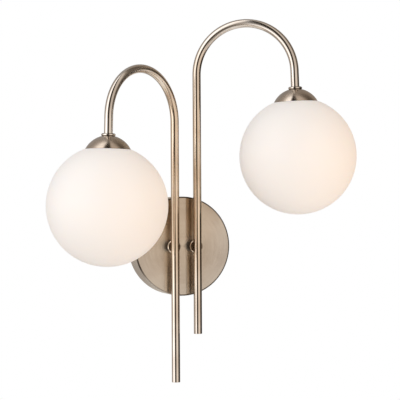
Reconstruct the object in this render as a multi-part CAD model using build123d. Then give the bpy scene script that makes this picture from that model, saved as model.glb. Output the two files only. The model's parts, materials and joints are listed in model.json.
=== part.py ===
from build123d import *
import os
from math import cos, radians, sin, sqrt

# Double arm wall sconce: two hooked tubes, each with an opal glass globe, on one round canopy.
# Millimetres. The wall is the plane y = 0, the light stands out of it towards -Y, +Z is up, and the
# origin is the middle of the wall bracket's back face.

# ---------------------------------------------------------------- canopy and wall bracket
canopy_diameter = 120.0
canopy_depth = 30.0
canopy_wall = 1.2
canopy_edge_radius = 1.6

bracket_thickness = 1.5
bracket_disc_diameter = 62.0
bracket_strap_width = 20.0
bracket_bend_radius = 1.5
bracket_ear_height = 17.0
bracket_ear_gap = 0.6
bracket_ear_corner = 5.0
wall_slot_spacing = 60.0
wall_slot_width = 4.8
wall_slot_length = 12.0
cable_hole_diameter = 12.0

# ---------------------------------------------------------------- arms
tube_diameter = 10.0
tube_wall = 1.0
tube_spacing = 28.0
tube_stand_off = 14.0
arm_straight = 310.0
crook_radius = 60.0
crook_angle = 178.0
splay_angle = 34.0
left_foot_height = -161.0
right_foot_height = -104.0
globe_drop = 101.0

# ---------------------------------------------------------------- arm fixings in the canopy
stand_off_diameter = 16.0
stand_off_saddle = 1.0
stand_off_chamfer = 0.8
stub_diameter = 8.0
stub_bore = 5.6
stub_tail = 7.0
stub_washer_diameter = 14.0
stub_washer_thickness = 1.0
stub_nut_flats = 13.0
stub_nut_height = 4.0
foot_plug_head = 1.0
foot_plug_depth = 6.0
foot_plug_edge = 0.3
foot_plug_lead_in = 0.6
nut_chamfer_share = 0.6

# ---------------------------------------------------------------- glass globe
globe_diameter = 138.0
globe_wall = 2.2
shoulder_margin = 1.5
neck_diameter = 31.0
neck_wall = 2.2
neck_height = 7.5
globe_thread_pitch = 4.0

# ---------------------------------------------------------------- dome cup and its fittings
dome_rim_diameter = 52.0
dome_height = 14.9
dome_wall = 1.0
dome_flat_diameter = 16.0
collar_diameter = 16.5
collar_height = 3.2
dome_washer_diameter = 14.0
dome_washer_thickness = 0.8
dome_nut_flats = 14.0
dome_nut_height = 3.0
gasket_thickness = 1.4
gasket_side_gap = 0.4
gasket_neck_gap = 0.5
carrier_height = 7.0

# ---------------------------------------------------------------- lampholder and bulb
holder_diameter = 22.0
holder_boss_diameter = 15.0
holder_boss_height = 3.0
holder_shoulder = 2.5
holder_length = 24.0
holder_wall = 1.1
holder_thread_length = 6.0
holder_tube_end_gap = 1.0
holder_lip = 1.0
insert_height = 10.6
insert_nose = 1.4
contact_diameter = 3.2
contact_length = 7.0
pin_spacing = 9.0
pin_diameter = 1.0
pin_length = 7.0
bulb_diameter = 15.8
bulb_length = 48.0
bulb_base_height = 9.0
bulb_base_edge = 0.8
bulb_spigot_height = 2.0
bulb_cover_wall = 1.2
pin_tip_height = 0.4
pin_tip_inset = 0.3

# ---------------------------------------------------------------- wiring
wire_diameter = 1.8
wire_offset = 1.3
wire_lift = 1.0
wire_layer = 1.1
wire_bend = 5.0
wire_canopy_bend = 4.0
wire_entry_bend = 3.0
wire_tail_bend = 2.5
wire_lead_in = 4.0
wire_tail_straight = 1.8
wire_contact_gap = 0.4
clamp_wire_gap = 0.2
wire_tube_end_gap = 1.0

terminal_pitch = 9.0
terminal_width = 18.0
terminal_length = 17.0
terminal_height = 8.5
terminal_corner = 1.5
terminal_tower = 5.0
terminal_tower_diameter = 6.4
terminal_centre = 18.5
terminal_hole_height = 5.0
terminal_hole_diameter = 4.4
insert_bore = 3.0
insert_recess = 2.0
terminal_screw_pitch = 8.0

# ---------------------------------------------------------------- screws
side_screw_diameter = 4.0
side_screw_length = 10.0
side_screw_head = 7.4
side_screw_depth = 10.0
earth_screw_diameter = 4.0
earth_screw_head = 7.4
earth_screw_drop = 18.0
earth_washer_diameter = 9.0
earth_washer_thickness = 0.8
clamp_screw_diameter = 3.0
clamp_screw_head = 5.2
clamp_screw_length = 8.0
clamp_screw_slot_width = 0.6
clamp_screw_slot_depth = 0.8
clamp_screw_reach = 1.2
clamp_screw_tip = 0.4
screw_tip_depth = 0.2
screw_head_height_share = 0.32
screw_head_side_share = 0.55
screw_head_crown_share = 0.92
screw_crown_middle_share = 0.6
screw_tip_share = 0.15
screw_slot_width_share = 0.25
screw_slot_depth_share = 0.45

# ---------------------------------------------------------------- clearances
thread_clearance = 0.1
hole_clearance = 0.25
seat_clearance = 0.05
running_clearance = 0.3

# ---------------------------------------------------------------- worked out sizes
tube_radius = tube_diameter / 2
tube_bore_radius = tube_radius - tube_wall
tube_y = -(canopy_depth + tube_stand_off)
globe_radius = globe_diameter / 2
dome_rim_radius = dome_rim_diameter / 2
globe_seat_radius = dome_rim_radius + shoulder_margin
seat_height = sqrt(globe_radius ** 2 - globe_seat_radius ** 2)
neck_top = seat_height + neck_height
neck_radius = neck_diameter / 2

dome_rim_height = seat_height + running_clearance
dome_flat_radius = dome_flat_diameter / 2
dome_top = dome_rim_height + dome_height
dome_centre = (dome_height ** 2 + dome_flat_radius ** 2 - dome_rim_radius ** 2) / (2 * dome_height)
dome_radius = sqrt(dome_rim_radius ** 2 + dome_centre ** 2)
dome_inner_radius = dome_radius - dome_wall
dome_centre_height = dome_rim_height + dome_centre

gasket_bottom = seat_height + running_clearance
gasket_top = gasket_bottom + gasket_thickness
gasket_outer_radius = sqrt(dome_inner_radius ** 2 - (gasket_top - dome_centre_height) ** 2) - gasket_side_gap
gasket_inner_radius = neck_radius + gasket_neck_gap
carrier_bottom = gasket_top + running_clearance
nut_bottom = dome_top - dome_wall - dome_washer_thickness - dome_nut_height
holder_top = nut_bottom - seat_clearance
tube_end = holder_top - holder_thread_length + holder_tube_end_gap
holder_bottom = holder_top - holder_length
insert_bottom = holder_bottom + holder_lip
insert_top = insert_bottom + insert_height
bulb_top = insert_bottom - insert_nose - running_clearance

SIDES = {"left": -1, "right": 1}
foot_height = {"left": left_foot_height, "right": right_foot_height}
crook_height = {side: foot_height[side] + arm_straight for side in SIDES}

wall = Plane.XZ.location


# ---------------------------------------------------------------- shared shapes
def turned(*edges):
    """A solid of revolution about Z from an outline drawn as (radius, height)."""
    outline = make_face(Wire(list(edges)))
    return revolve(Plane.XZ * outline, Axis.Z)


def turned_polygon(*points):
    """A solid of revolution about Z from straight sides only."""
    return turned(*Polyline(*points, close=True).edges())


def ring(outer_radius, inner_radius, bottom, height):
    """A plain ring about Z."""
    disc = Circle(outer_radius) - Circle(inner_radius)
    return extrude(Pos(0, 0, bottom) * disc, height)


def hex_nut(flats, bore_radius, bottom, height):
    """A hexagon nut about Z, its corners rounded off by a turned chamfer."""
    blank = extrude(Pos(0, 0, bottom) * RegularPolygon(flats / 2, 6, major_radius=False), height)
    corner = flats / sqrt(3)
    chamfer_drop = (corner - flats / 2) * nut_chamfer_share
    turned_blank = turned_polygon(
        (0, bottom),
        (corner, bottom),
        (corner, bottom + height - chamfer_drop),
        (flats / 2, bottom + height),
        (0, bottom + height),
    )
    bore = Pos(0, 0, bottom) * extrude(Circle(bore_radius), height)
    return (blank & turned_blank) - bore


def pan_screw(diameter, length, head_diameter):
    """A slotted screw about Z: its head sits on z = 0 and its shank runs down."""
    head_height = head_diameter * screw_head_height_share
    shank_radius = diameter / 2
    tip = diameter * screw_tip_share
    head_radius = head_diameter / 2
    rise = head_height * screw_head_side_share
    crown = ThreePointArc(
        (head_radius, rise),
        (head_radius * screw_crown_middle_share, head_height * screw_head_crown_share),
        (0, head_height),
    )
    sides = Polyline(
        (0, head_height),
        (0, -length),
        (shank_radius - tip, -length),
        (shank_radius, -length + tip),
        (shank_radius, 0),
        (head_radius, 0),
        (head_radius, rise),
    )
    body = turned(*sides.edges(), crown)
    slot_depth = head_height * screw_slot_depth_share
    slot = Pos(0, 0, head_height) * Box(head_diameter, diameter * screw_slot_width_share, 2 * slot_depth)
    return body - slot


def group(*solids):
    """Several separate solids of one node."""
    return Compound([solid for part in solids for solid in part.solids()])


# ---------------------------------------------------------------- places on each arm
def outward(side):
    """The level direction in which an arm's crook leans away from its tube."""
    splay = radians(splay_angle)
    return Vector(SIDES[side] * cos(splay), -sin(splay), 0)


def across(side):
    """The level direction square to an arm's plane, pointing back towards the wall."""
    splay = radians(splay_angle)
    return Vector(SIDES[side] * sin(splay), cos(splay), 0)


def arm_foot(side):
    return Vector(SIDES[side] * tube_spacing / 2, tube_y, foot_height[side])


def crook_point(side, angle):
    """A point on the tube's axis round the crook, at an angle from the crook's start."""
    turn = radians(angle)
    start = arm_foot(side) + Vector(0, 0, arm_straight)
    return start + outward(side) * crook_radius * (1 - cos(turn)) + Vector(0, 0, crook_radius * sin(turn))


def drop_direction(side):
    """The way down along the hanging end of an arm."""
    turn = radians(crook_angle)
    return outward(side) * sin(turn) + Vector(0, 0, cos(turn))


def drop_plane(side):
    """The frame of the hanging pieces: its origin is the globe's centre and +Z runs up the drop."""
    centre = crook_point(side, crook_angle) + drop_direction(side) * globe_drop
    return Plane(origin=centre, x_dir=across(side), z_dir=-drop_direction(side))


# ---------------------------------------------------------------- wall bracket and canopy
def wall_bracket():
    """A folded strap with a disc in its middle, slots for the wall screws and two tapped ears."""
    ear_face = canopy_diameter / 2 - canopy_wall - bracket_ear_gap
    ear_face = sqrt(ear_face ** 2 - (bracket_strap_width / 2) ** 2)
    inner_face = ear_face - bracket_thickness
    outer_bend = bracket_bend_radius + bracket_thickness
    outline = Polyline(
        (-ear_face, bracket_ear_height),
        (-ear_face, 0),
        (ear_face, 0),
        (ear_face, bracket_ear_height),
        (inner_face, bracket_ear_height),
        (inner_face, bracket_thickness),
        (-inner_face, bracket_thickness),
        (-inner_face, bracket_ear_height),
        close=True,
    )
    profile = make_face(outline)
    outer_corners = [v for v in profile.vertices() if v.Y < bracket_thickness / 2]
    profile = fillet(outer_corners, outer_bend)
    low = [v for v in profile.vertices() if v.Y < outer_bend / 2 + bracket_thickness / 2]
    inner_corners = [v for v in low if v.Y > bracket_thickness / 2]
    profile = fillet(inner_corners, bracket_bend_radius)
    half_width = bracket_strap_width / 2
    strap = extrude(Plane.XZ.offset(-half_width) * profile, bracket_strap_width)
    ear_corners = strap.edges().filter_by(Axis.X).filter_by(lambda e: e.center().Z > bracket_ear_height / 2)
    strap = fillet(ear_corners, bracket_ear_corner)
    disc = extrude(Circle(bracket_disc_diameter / 2), bracket_thickness)
    slot = SlotOverall(wall_slot_length, wall_slot_width)
    cuts = [Pos(x, 0) * slot for x in (-wall_slot_spacing / 2, wall_slot_spacing / 2)]
    cuts.append(Circle(cable_hole_diameter / 2))
    cuts.append(Pos(0, -earth_screw_drop) * Circle(earth_screw_diameter / 2 + thread_clearance))
    cuts.append(Pos(0, terminal_centre) * Circle(clamp_screw_diameter / 2 + thread_clearance))
    plate = strap + disc
    for cut in cuts:
        plate -= extrude(cut, bracket_thickness)
    tapped = Cylinder(side_screw_diameter / 2 + thread_clearance, 2 * ear_face)
    plate -= Pos(0, 0, side_screw_depth) * Rot(0, 90, 0) * tapped
    return wall * plate


def canopy():
    """A pressed cup, open to the wall, with holes for the two arm stubs and the side screws."""
    radius = canopy_diameter / 2
    shell = extrude(Circle(radius), canopy_depth)
    shell = fillet(shell.edges().sort_by(Axis.Z)[-1], canopy_edge_radius)
    hollow = extrude(Circle(radius - canopy_wall), canopy_depth - canopy_wall)
    hollow = fillet(hollow.edges().sort_by(Axis.Z)[-1], canopy_edge_radius - canopy_wall)
    shell -= hollow
    for sign in SIDES.values():
        stub_hole = extrude(Circle(stub_diameter / 2 + hole_clearance), canopy_depth)
        shell -= Pos(sign * tube_spacing / 2, 0) * stub_hole
    side_hole = Cylinder(side_screw_diameter / 2 + hole_clearance, canopy_diameter)
    shell -= Pos(0, 0, side_screw_depth) * Rot(0, 90, 0) * side_hole
    return wall * shell


def canopy_side_screws():
    screw = pan_screw(side_screw_diameter, side_screw_length, side_screw_head)
    seat = canopy_diameter / 2 + seat_clearance
    right = Pos(seat, 0, side_screw_depth) * Rot(0, 90, 0) * screw
    left = Pos(-seat, 0, side_screw_depth) * Rot(0, -90, 0) * screw
    return wall * group(left, right)


def earth_screw():
    """The earth terminal: a screw through a cupped washer into the bracket."""
    bottom = bracket_thickness + seat_clearance
    bore = earth_screw_diameter / 2 + hole_clearance
    washer = ring(earth_washer_diameter / 2, bore, bottom, earth_washer_thickness)
    head_seat = bottom + earth_washer_thickness + seat_clearance
    screw = pan_screw(earth_screw_diameter, head_seat - screw_tip_depth, earth_screw_head)
    return wall * (Pos(0, -earth_screw_drop) * group(washer, Pos(0, 0, head_seat) * screw))


# ---------------------------------------------------------------- terminal block
def terminal_poles():
    return [(x, y) for x in (-terminal_pitch / 2, terminal_pitch / 2)
            for y in (-terminal_screw_pitch / 2, terminal_screw_pitch / 2)]


def at_terminal(part):
    return wall * (Pos(0, terminal_centre, bracket_thickness + seat_clearance) * part)


def terminal_housing():
    """The moulded two-pole block: a barrel for each pole and a tower round each clamp screw."""
    base = extrude(Rectangle(terminal_width, terminal_length), terminal_height)
    base = fillet(base.edges().filter_by(Axis.Z), terminal_corner)
    tower_top = terminal_height + terminal_tower
    tower = extrude(Circle(terminal_tower_diameter / 2), tower_top)
    screw_hole = extrude(Circle(clamp_screw_diameter / 2 + hole_clearance), tower_top)
    for x, y in terminal_poles():
        base += Pos(x, y) * tower
    for x, y in terminal_poles():
        base -= Pos(x, y, terminal_hole_height) * screw_hole
    barrel = Rot(90, 0, 0) * Cylinder(terminal_hole_diameter / 2, terminal_length)
    for x in (-terminal_pitch / 2, terminal_pitch / 2):
        base -= Pos(x, 0, terminal_hole_height) * barrel
    base -= extrude(Circle(clamp_screw_diameter / 2 + hole_clearance), terminal_height)
    return at_terminal(base)


def terminal_inserts():
    """The brass tubes that the clamp screws press the wires in."""
    radius = terminal_hole_diameter / 2 - seat_clearance
    length = terminal_length - 2 * insert_recess
    tube = Cylinder(radius, length) - Cylinder(insert_bore / 2, length)
    tapped = extrude(Circle(clamp_screw_diameter / 2 + hole_clearance), terminal_hole_height)
    inserts = []
    for x in (-terminal_pitch / 2, terminal_pitch / 2):
        insert = Rot(90, 0, 0) * tube
        for sign in (-1, 1):
            insert -= Pos(0, sign * terminal_screw_pitch / 2) * tapped
        inserts.append(Pos(x, 0, terminal_hole_height) * insert)
    return at_terminal(group(*inserts))


def terminal_screws():
    """The four clamp screws, sunk in their towers, and the screw that holds the block."""
    radius = clamp_screw_diameter / 2
    grub = turned_polygon(
        (0, 0),
        (radius - clamp_screw_tip, 0),
        (radius, clamp_screw_tip),
        (radius, clamp_screw_length),
        (0, clamp_screw_length),
    )
    slot = Box(2 * radius, clamp_screw_slot_width, 2 * clamp_screw_slot_depth)
    grub -= Pos(0, 0, clamp_screw_length) * slot
    tip = terminal_hole_height + insert_bore / 2 - clamp_screw_reach
    screws = [Pos(x, y, tip) * grub for x, y in terminal_poles()]
    holding_length = terminal_height + bracket_thickness + 2 * seat_clearance - screw_tip_depth
    holding = pan_screw(clamp_screw_diameter, holding_length, clamp_screw_head)
    screws.append(Pos(0, 0, terminal_height + seat_clearance) * holding)
    return at_terminal(group(*screws))


# ---------------------------------------------------------------- arms and their fixings
def arm(side):
    """One tube bent into a crook, with a hole in its back for the wires."""
    start = arm_foot(side)
    bend_start = crook_point(side, 0)
    bend_end = crook_point(side, crook_angle)
    tip = drop_plane(side).from_local_coords(Vector(0, 0, tube_end))
    path = Wire([
        Line(start, bend_start),
        ThreePointArc(bend_start, crook_point(side, crook_angle / 2), bend_end),
        Line(bend_end, tip),
    ])
    section = Circle(tube_radius) - Circle(tube_bore_radius)
    tube = sweep(Plane(origin=start, x_dir=across(side), z_dir=(0, 0, 1)) * section, path)
    wire_hole = extrude(Circle(stub_bore / 2), tube_stand_off)
    return tube - wall * (Pos(start.X, 0, canopy_depth) * wire_hole)


def foot_plug(side):
    """The turned plug that closes the tube's lower end."""
    shank = tube_bore_radius - seat_clearance
    plug = turned_polygon(
        (0, -foot_plug_head),
        (tube_radius - foot_plug_edge, -foot_plug_head),
        (tube_radius, -foot_plug_head + foot_plug_edge),
        (tube_radius, -seat_clearance),
        (shank, -seat_clearance),
        (shank, foot_plug_depth - foot_plug_lead_in),
        (shank - foot_plug_lead_in, foot_plug_depth),
        (0, foot_plug_depth),
    )
    return Location(arm_foot(side)) * plug


def at_stub(side, part):
    """Puts a piece that is turned about the wall's normal on an arm's fixing hole."""
    return wall * (Pos(SIDES[side] * tube_spacing / 2, 0) * part)


def saddle(clearance=0.0):
    """The tube's round back, which the pieces brazed to it are cut to."""
    back = Cylinder(tube_radius + clearance, 2 * stand_off_diameter)
    return Pos(0, 0, canopy_depth + tube_stand_off) * Rot(90, 0, 0) * back


def stand_off(side):
    """The turned spacer between the canopy and the tube, with a groove that the tube lies in."""
    front = canopy_depth + tube_stand_off - tube_radius + stand_off_saddle
    radius = stand_off_diameter / 2
    bore = stub_diameter / 2 + thread_clearance
    spacer = turned_polygon(
        (bore, canopy_depth + seat_clearance),
        (radius, canopy_depth + seat_clearance),
        (radius, front - stand_off_chamfer),
        (radius - stand_off_chamfer, front),
        (bore, front),
    )
    return at_stub(side, spacer - saddle(seat_clearance))


def stub(side):
    """The hollow threaded stub, brazed to the tube, that carries the wires into the canopy."""
    inner_end = canopy_depth - canopy_wall - stub_tail
    tube_face = canopy_depth + tube_stand_off
    body = ring(stub_diameter / 2, stub_bore / 2, inner_end, tube_face - inner_end)
    return at_stub(side, body - saddle())


def stub_washers():
    bottom = canopy_depth - canopy_wall - seat_clearance - stub_washer_thickness
    bore = stub_diameter / 2 + hole_clearance
    washer = ring(stub_washer_diameter / 2, bore, bottom, stub_washer_thickness)
    return group(*[at_stub(side, washer) for side in SIDES])


def stub_nuts():
    bottom = canopy_depth - canopy_wall - stub_washer_thickness - stub_nut_height - 2 * seat_clearance
    nut = hex_nut(stub_nut_flats, stub_diameter / 2 + thread_clearance, 0, stub_nut_height)
    nut = Pos(0, 0, bottom + stub_nut_height) * Rot(180, 0, 0) * nut
    return group(*[at_stub(side, nut) for side in SIDES])


# ---------------------------------------------------------------- wiring
def wire(side, layer):
    """One core of an arm: layer 1 lies nearer the wall in the tube, and layer -1 further from it."""
    sign = SIDES[side]
    shift = across(side) * layer * wire_offset
    plane = drop_plane(side)
    tube_line = arm_foot(side) + shift
    level = layer * wire_lift
    depth = bracket_thickness + seat_clearance + terminal_hole_height + sign * wire_layer
    pole = sign * layer * terminal_pitch / 2
    entry = terminal_centre - terminal_length / 2
    canopy_run = FilletPolyline(
        (pole, -depth, entry + insert_recess - clamp_wire_gap),
        (pole, -depth, entry - wire_lead_in),
        (tube_line.X, -depth, level),
        (tube_line.X, tube_line.Y, level),
        crook_point(side, 0) + shift,
        radius=[wire_entry_bend, wire_canopy_bend, wire_bend],
    )
    crook = ThreePointArc(
        crook_point(side, 0) + shift,
        crook_point(side, crook_angle / 2) + shift,
        crook_point(side, crook_angle) + shift,
    )
    offset = layer * wire_offset
    contact = layer * pin_spacing / 2
    tail_height = insert_top + wire_contact_gap
    tail = FilletPolyline(
        crook_point(side, crook_angle) + shift,
        plane.from_local_coords(Vector(offset, 0, tube_end - wire_tube_end_gap)),
        plane.from_local_coords(Vector(contact, 0, tail_height + wire_tail_straight)),
        plane.from_local_coords(Vector(contact, 0, tail_height)),
        radius=wire_tail_bend,
    )
    path = Wire([*canopy_run.edges(), crook, *tail.edges()])
    section = Plane(origin=path @ 0, z_dir=path % 0) * Circle(wire_diameter / 2)
    return sweep(section, path)


def arm_wires(side):
    return group(wire(side, 1), wire(side, -1))


# ---------------------------------------------------------------- dome cup and its fittings
def dome_outline(radius, bottom, top):
    """The arc of a dome of a radius about the cup's own centre, between two heights."""
    middle = (bottom + top) / 2
    points = [(sqrt(radius ** 2 - (z - dome_centre_height) ** 2), z) for z in (bottom, middle, top)]
    return ThreePointArc(*points), points[0], points[-1]


def dome_cup():
    """A spun cap with a flat top for the collar and a hole for the tube."""
    hole = tube_radius + hole_clearance
    inner_top = dome_top - dome_wall
    outer_arc, outer_rim, outer_shoulder = dome_outline(dome_radius, dome_rim_height, dome_top)
    inner_arc, inner_rim, inner_shoulder = dome_outline(dome_inner_radius, dome_rim_height, inner_top)
    return turned(
        outer_arc,
        Line(outer_shoulder, (hole, dome_top)),
        Line((hole, dome_top), (hole, inner_top)),
        Line((hole, inner_top), inner_shoulder),
        inner_arc,
        Line(inner_rim, outer_rim),
    )


def collar():
    """The turned ring nut above the cup, with a full round edge."""
    bore = tube_radius + thread_clearance
    bottom = dome_top + seat_clearance
    top = bottom + collar_height
    edge = collar_diameter / 2 - collar_height / 2
    bulge = ThreePointArc((edge, bottom), (collar_diameter / 2, (bottom + top) / 2), (edge, top))
    return turned(
        bulge,
        Line((edge, top), (bore, top)),
        Line((bore, top), (bore, bottom)),
        Line((bore, bottom), (edge, bottom)),
    )


def dome_washer():
    bottom = dome_top - dome_wall - dome_washer_thickness - seat_clearance
    return ring(dome_washer_diameter / 2, tube_radius + hole_clearance, bottom, dome_washer_thickness)


def dome_nut():
    height = dome_nut_height - 2 * seat_clearance
    nut = hex_nut(dome_nut_flats, tube_radius + thread_clearance, 0, height)
    return Pos(0, 0, nut_bottom + height) * Rot(180, 0, 0) * nut


def glass_carrier():
    """The ring soldered in the cup, whose bore holds the globe's coarse thread."""
    bore = neck_radius + running_clearance
    top = carrier_bottom + carrier_height
    arc, low, high = dome_outline(dome_inner_radius - seat_clearance, carrier_bottom, top)
    return turned(
        arc,
        Line(high, (bore, top)),
        Line((bore, top), (bore, carrier_bottom)),
        Line((bore, carrier_bottom), low),
    )


def gasket():
    """The silicone ring that lies on the globe's shoulder."""
    return ring(gasket_outer_radius, gasket_inner_radius, gasket_bottom, gasket_thickness)


# ---------------------------------------------------------------- glass globe
def globe():
    """A blown ball with a flat shoulder and a short neck."""
    inner = globe_radius - globe_wall
    inner_seat = seat_height - globe_wall
    inner_seat_radius = sqrt(inner ** 2 - inner_seat ** 2)
    neck_bore = neck_radius - neck_wall
    shell = turned(
        ThreePointArc((0, -globe_radius), (globe_radius, 0), (globe_seat_radius, seat_height)),
        Line((globe_seat_radius, seat_height), (neck_radius, seat_height)),
        Line((neck_radius, seat_height), (neck_radius, neck_top)),
        Line((neck_radius, neck_top), (neck_bore, neck_top)),
        Line((neck_bore, neck_top), (neck_bore, inner_seat)),
        Line((neck_bore, inner_seat), (inner_seat_radius, inner_seat)),
        ThreePointArc((inner_seat_radius, inner_seat), (inner, 0), (0, -inner)),
        Line((0, -inner), (0, -globe_radius)),
    )
    return shell


# ---------------------------------------------------------------- lampholder
def lampholder_cap():
    """The can of the lampholder, screwed on the tube's end, with a lip that holds the insert."""
    radius = holder_diameter / 2
    inner = radius - holder_wall
    boss = holder_boss_diameter / 2
    bore = tube_radius + thread_clearance
    boss_bottom = holder_top - holder_boss_height
    shoulder = boss_bottom - holder_shoulder
    thread_end = holder_top - holder_thread_length
    return turned_polygon(
        (bore, holder_top),
        (boss, holder_top),
        (boss, boss_bottom),
        (radius, shoulder),
        (radius, holder_bottom),
        (inner - holder_lip, holder_bottom),
        (inner - holder_lip, insert_bottom - seat_clearance),
        (inner, insert_bottom - seat_clearance),
        (inner, shoulder - holder_wall),
        (boss - holder_wall, boss_bottom - holder_wall),
        (boss - holder_wall, thread_end),
        (bore, thread_end),
    )


def contact_places():
    return [Pos(x, 0) for x in (-pin_spacing / 2, pin_spacing / 2)]


def lampholder_insert():
    """The ceramic body of the socket, with a cavity for each contact and a hole for each pin."""
    inner = holder_diameter / 2 - holder_wall
    nose = inner - holder_lip - hole_clearance
    nose_bottom = insert_bottom - insert_nose
    body = turned_polygon(
        (0, nose_bottom),
        (nose, nose_bottom),
        (nose, insert_bottom),
        (inner - hole_clearance, insert_bottom),
        (inner - hole_clearance, insert_top),
        (0, insert_top),
    )
    cavity = extrude(Circle(contact_diameter / 2 + seat_clearance), contact_length)
    cavity = Pos(0, 0, insert_top - contact_length) * cavity
    pin_hole = extrude(Circle(pin_diameter / 2 + running_clearance), insert_height)
    pin_hole = Pos(0, 0, nose_bottom) * pin_hole
    for place in contact_places():
        body -= place * cavity
        body -= place * pin_hole
    return body


def lampholder_contacts():
    """The sprung sleeves that grip the bulb's pins."""
    sleeve = ring(contact_diameter / 2, pin_diameter / 2 + running_clearance,
                  insert_top - contact_length, contact_length)
    return group(*[place * sleeve for place in contact_places()])


# ---------------------------------------------------------------- bulb
def bulb_base():
    radius = bulb_diameter / 2
    bottom = bulb_top - bulb_base_height
    spigot = radius - bulb_cover_wall - seat_clearance
    return turned_polygon(
        (0, bottom - bulb_spigot_height),
        (spigot, bottom - bulb_spigot_height),
        (spigot, bottom),
        (radius, bottom),
        (radius, bulb_top - bulb_base_edge),
        (radius - bulb_base_edge, bulb_top),
        (0, bulb_top),
    )


def bulb_cover():
    """The frosted capsule over the light source."""
    radius = bulb_diameter / 2
    inner = radius - bulb_cover_wall
    top = bulb_top - bulb_base_height - seat_clearance
    tip = bulb_top - bulb_length
    centre = tip + radius
    slant = sqrt(0.5)
    return turned(
        ThreePointArc((0, tip), (radius * slant, centre - radius * slant), (radius, centre)),
        Line((radius, centre), (radius, top)),
        Line((radius, top), (inner, top)),
        Line((inner, top), (inner, centre)),
        ThreePointArc((inner, centre), (inner * slant, centre - inner * slant), (0, centre - inner)),
        Line((0, centre - inner), (0, tip)),
    )


def bulb_pins():
    radius = pin_diameter / 2
    top = bulb_top + pin_length
    pin = turned_polygon(
        (0, bulb_top),
        (radius, bulb_top),
        (radius, top - pin_tip_height),
        (radius - pin_tip_inset, top),
        (0, top),
    )
    return group(*[place * pin for place in contact_places()])


# ---------------------------------------------------------------- the whole light
def on_each_drop(part):
    """The same solids on both arms, for small fixings that share one node."""
    return group(*[drop_plane(side).location * part for side in SIDES])


nodes = {
    "wall_bracket": wall_bracket(),
    "canopy": canopy(),
    "canopy_side_screws": canopy_side_screws(),
    "earth_screw": earth_screw(),
    "terminal_housing": terminal_housing(),
    "terminal_inserts": terminal_inserts(),
    "terminal_screws": terminal_screws(),
    "stub_washers": stub_washers(),
    "stub_nuts": stub_nuts(),
    "dome_washers": on_each_drop(dome_washer()),
    "dome_nuts": on_each_drop(dome_nut()),
}

for side in SIDES:
    drop = drop_plane(side).location
    nodes[f"{side}_arm"] = arm(side)
    nodes[f"{side}_foot_plug"] = foot_plug(side)
    nodes[f"{side}_stand_off"] = stand_off(side)
    nodes[f"{side}_stub"] = stub(side)
    nodes[f"{side}_arm_wires"] = arm_wires(side)
    nodes[f"{side}_collar"] = drop * collar()
    nodes[f"{side}_dome_cup"] = drop * dome_cup()
    nodes[f"{side}_glass_carrier"] = drop * glass_carrier()
    nodes[f"{side}_lampholder_cap"] = drop * lampholder_cap()
    nodes[f"{side}_lampholder_insert"] = drop * lampholder_insert()
    nodes[f"{side}_lampholder_contacts"] = drop * lampholder_contacts()
    nodes[f"{side}_gasket"] = drop * gasket()
    nodes[f"{side}_globe"] = drop * globe()
    nodes[f"{side}_bulb_base"] = drop * bulb_base()
    nodes[f"{side}_bulb_cover"] = drop * bulb_cover()
    nodes[f"{side}_bulb_pins"] = drop * bulb_pins()

os.makedirs("parts", exist_ok=True)
for name, part in nodes.items():
    export_step(part, f"parts/{name}.step")
print(len(nodes), "nodes")
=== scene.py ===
# %% [markdown]
# # A wall light with two hooked arms
# The light is made of brushed antique brass tube and two opal glass globes. Its solids come from the
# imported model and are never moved, so this lesson is about what a solid alone doesn't have: the
# finish of every surface, the threads, the two colours of wire, and the studio that brushed metal
# needs round it.

# %% Load the frame
import json
from math import cos, pi, radians, sin, tau

import bpy
from mathutils import Matrix, Vector


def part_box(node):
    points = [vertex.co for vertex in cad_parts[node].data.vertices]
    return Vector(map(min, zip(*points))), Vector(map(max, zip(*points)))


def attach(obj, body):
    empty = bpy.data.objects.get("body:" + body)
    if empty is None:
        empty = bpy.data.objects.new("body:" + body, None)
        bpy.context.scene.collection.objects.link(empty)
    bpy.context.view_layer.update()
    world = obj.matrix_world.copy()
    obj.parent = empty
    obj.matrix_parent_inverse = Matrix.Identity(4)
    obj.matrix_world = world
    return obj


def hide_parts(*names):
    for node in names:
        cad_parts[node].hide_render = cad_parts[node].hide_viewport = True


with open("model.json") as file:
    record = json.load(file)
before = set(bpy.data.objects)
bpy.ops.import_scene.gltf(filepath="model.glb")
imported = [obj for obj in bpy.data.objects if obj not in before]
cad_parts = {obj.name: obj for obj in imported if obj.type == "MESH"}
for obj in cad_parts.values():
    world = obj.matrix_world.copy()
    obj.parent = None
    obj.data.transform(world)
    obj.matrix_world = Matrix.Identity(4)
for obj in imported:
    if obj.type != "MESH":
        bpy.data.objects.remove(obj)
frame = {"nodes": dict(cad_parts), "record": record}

scene = bpy.context.scene
nodes = frame["nodes"]
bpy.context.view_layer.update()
MM = 0.001
SIDES = {"left": -1, "right": 1}

# %% [markdown]
# ## Camera
# The picture was taken from a little left of the light, nearly level with the canopy and from far
# enough away that the two globes look the same size. A camera is turned by its three axes: where it
# looks, its right hand and its up. Yaw, pitch and roll give those, and they are easier to read than
# a matrix.

# %% Camera
# Places are in metres, and the lens and the width of the film in millimetres.
camera_place = Vector((-0.53701, -1.68854, 0.06046))
camera_yaw = radians(18.63251)
camera_pitch = radians(-0.15423)
camera_roll = radians(-0.32036)
camera_lens = 129.80
camera_film_width = 36.0
camera_reach = 50.0


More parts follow.
